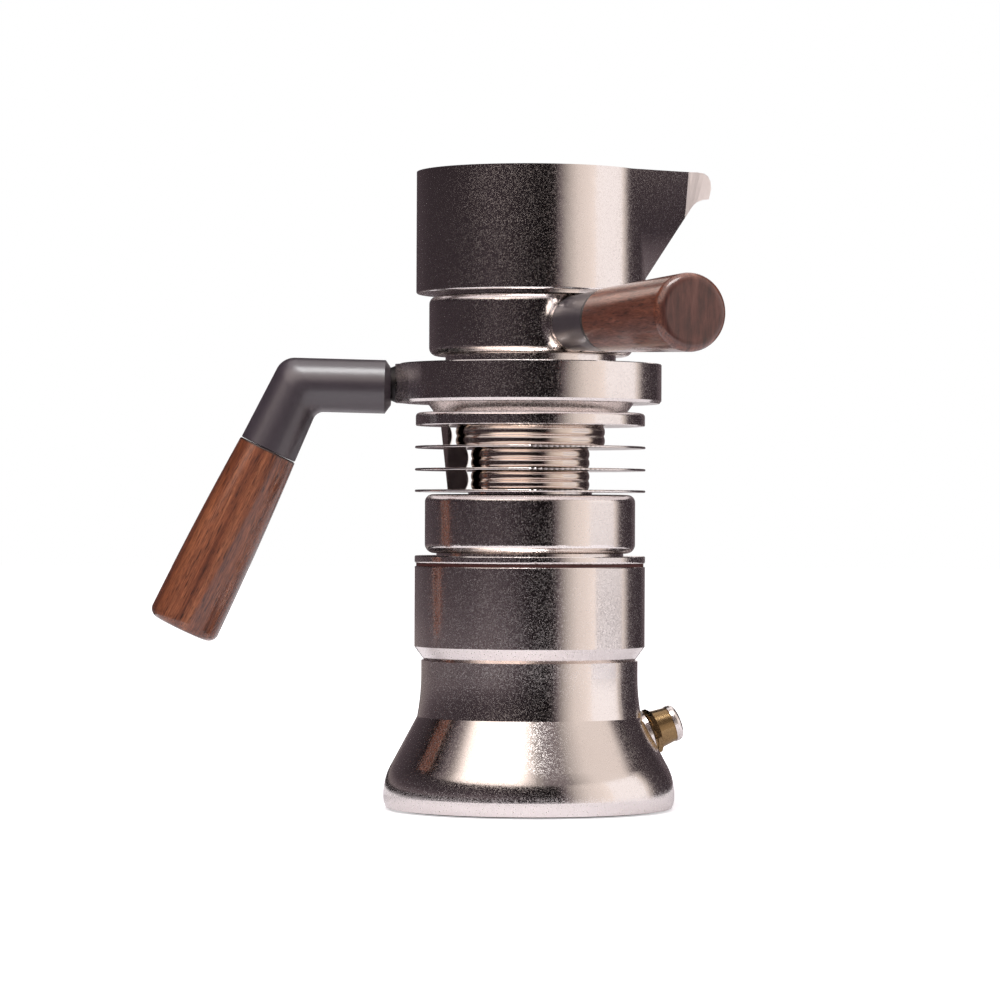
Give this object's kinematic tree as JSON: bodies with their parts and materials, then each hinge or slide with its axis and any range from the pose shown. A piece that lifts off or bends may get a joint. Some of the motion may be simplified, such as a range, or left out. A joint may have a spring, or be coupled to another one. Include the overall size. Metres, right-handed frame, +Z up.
{
  "type": "stovetop espresso maker",
  "caption": "Metal stovetop espresso maker: flared boiler with relief valve, finned stack, screw-on spouted jug, straight and bent wooden handles.",
  "frame": {"origin": "on the machine's axis, at the bottom face of the sole that stands on the stove", "axes": "+Z up along the machine's axis; the bent handle points along -X and the spout along +X, turned 10 degrees towards +Y; the straight handle points to -Y and +X"},
  "size_m": [0.1812, 0.157, 0.2071],
  "materials": {
    "base_metal": "satin nickel-steel, fine polishing lines",
    "sole_metal": "plain ground face",
    "plug_metal": "satin, bright edge",
    "ring_metal": "satin, bare",
    "fin_metal": "thin sheet, satin, bright edge",
    "spacer_metal": "turned, polished beads",
    "head_metal": "satin with sharp polished edges",
    "hub_metal": "satin with rounded polished edges",
    "jug_metal": "satin sheet metal",
    "inner_steel": "plain stainless steel",
    "stud_metal": "turned",
    "coil_copper": "plain copper tube",
    "valve_brass": "turned and milled brass",
    "valve_steel": "turned steel",
    "gasket_red": "reddish brown gasket",
    "seal_rubber": "pale silicone",
    "elbow_black": "matte black coating",
    "collar_black": "matte black coating",
    "grip_walnut": "walnut with a satin lacquer, grain along the grip"
  },
  "bodies": {
    "base": {"base_shell": "base_metal", "base_sole": "sole_metal", "relief_washer": "valve_steel", "relief_body": "valve_brass", "relief_cap": "valve_steel", "relief_spring": "inner_steel"},
    "relief_pin": {"relief_stem": "valve_steel"},
    "base_seal": {"base_gasket": "gasket_red"},
    "heat_unit": {"boiler_plug": "plug_metal", "lower_ring": "ring_metal", "regulator_body": "valve_brass", "regulator_cap": "valve_brass", "regulator_spring": "inner_steel", "regulator_retainer": "valve_brass", "pickup_tube": "inner_steel", "exchanger_coil": "coil_copper", "riser_tube": "inner_steel", "heat_column": "inner_steel", "fin_lower": "fin_metal", "fin_middle": "fin_metal", "fin_upper": "fin_metal", "spacer_lower": "spacer_metal", "spacer_middle": "spacer_metal", "spacer_upper": "spacer_metal", "fin_stay": "spacer_metal", "thick_fin": "head_metal", "group_head": "head_metal", "shower_screen": "inner_steel", "handle_stud": "stud_metal", "handle_elbow": "elbow_black", "bent_grip": "grip_walnut", "bent_grip_rod": "inner_steel"},
    "regulator_pin": {"regulator_poppet": "valve_brass"},
    "basket": {"coffee_basket": "inner_steel", "basket_seal": "seal_rubber"},
    "jug": {"upper_screen": "inner_steel", "outlet_hub": "hub_metal", "jug_shell": "jug_metal", "outlet_column": "inner_steel", "column_cap": "inner_steel", "straight_collar": "collar_black", "straight_grip": "grip_walnut", "straight_grip_rod": "inner_steel"}
  },
  "joints": [
    {"name": "unit_lift", "type": "slide", "parent": "base", "child": "base_seal", "axis": [0, 0, 1], "range_m": [0, 0.00451]},
    {"name": "unit_turn", "type": "hinge", "parent": "base_seal", "child": "heat_unit", "pos_m": [0, 0, 0.0782], "axis": [0, 0, 1], "range_deg": [0, 540]},
    {"name": "jug_lift", "type": "slide", "parent": "heat_unit", "child": "basket", "axis": [0, 0, 1], "range_m": [0, 0.00451]},
    {"name": "jug_turn", "type": "hinge", "parent": "basket", "child": "jug", "pos_m": [0, 0, 0.1435], "axis": [0, 0, 1], "range_deg": [0, 540]},
    {"name": "regulator_open", "type": "slide", "parent": "heat_unit", "child": "regulator_pin", "axis": [0, 0, 1], "range_m": [0, 0.002], "stiffness_N_per_m": 1000, "springref_m": -0.0045, "deforming": ["regulator_spring"]},
    {"name": "relief_open", "type": "slide", "parent": "base", "child": "relief_pin", "axis": [0.9077, 0.2432, 0.342], "range_m": [0, 0.0012], "stiffness_N_per_m": 1200, "springref_m": -0.0015, "deforming": ["relief_spring"]}
  ],
  "couplings": [
    {"joint": "unit_lift", "follows": "unit_turn", "m_per_rad": 0.00047746},
    {"joint": "jug_lift", "follows": "jug_turn", "m_per_rad": 0.00047746}
  ]
}
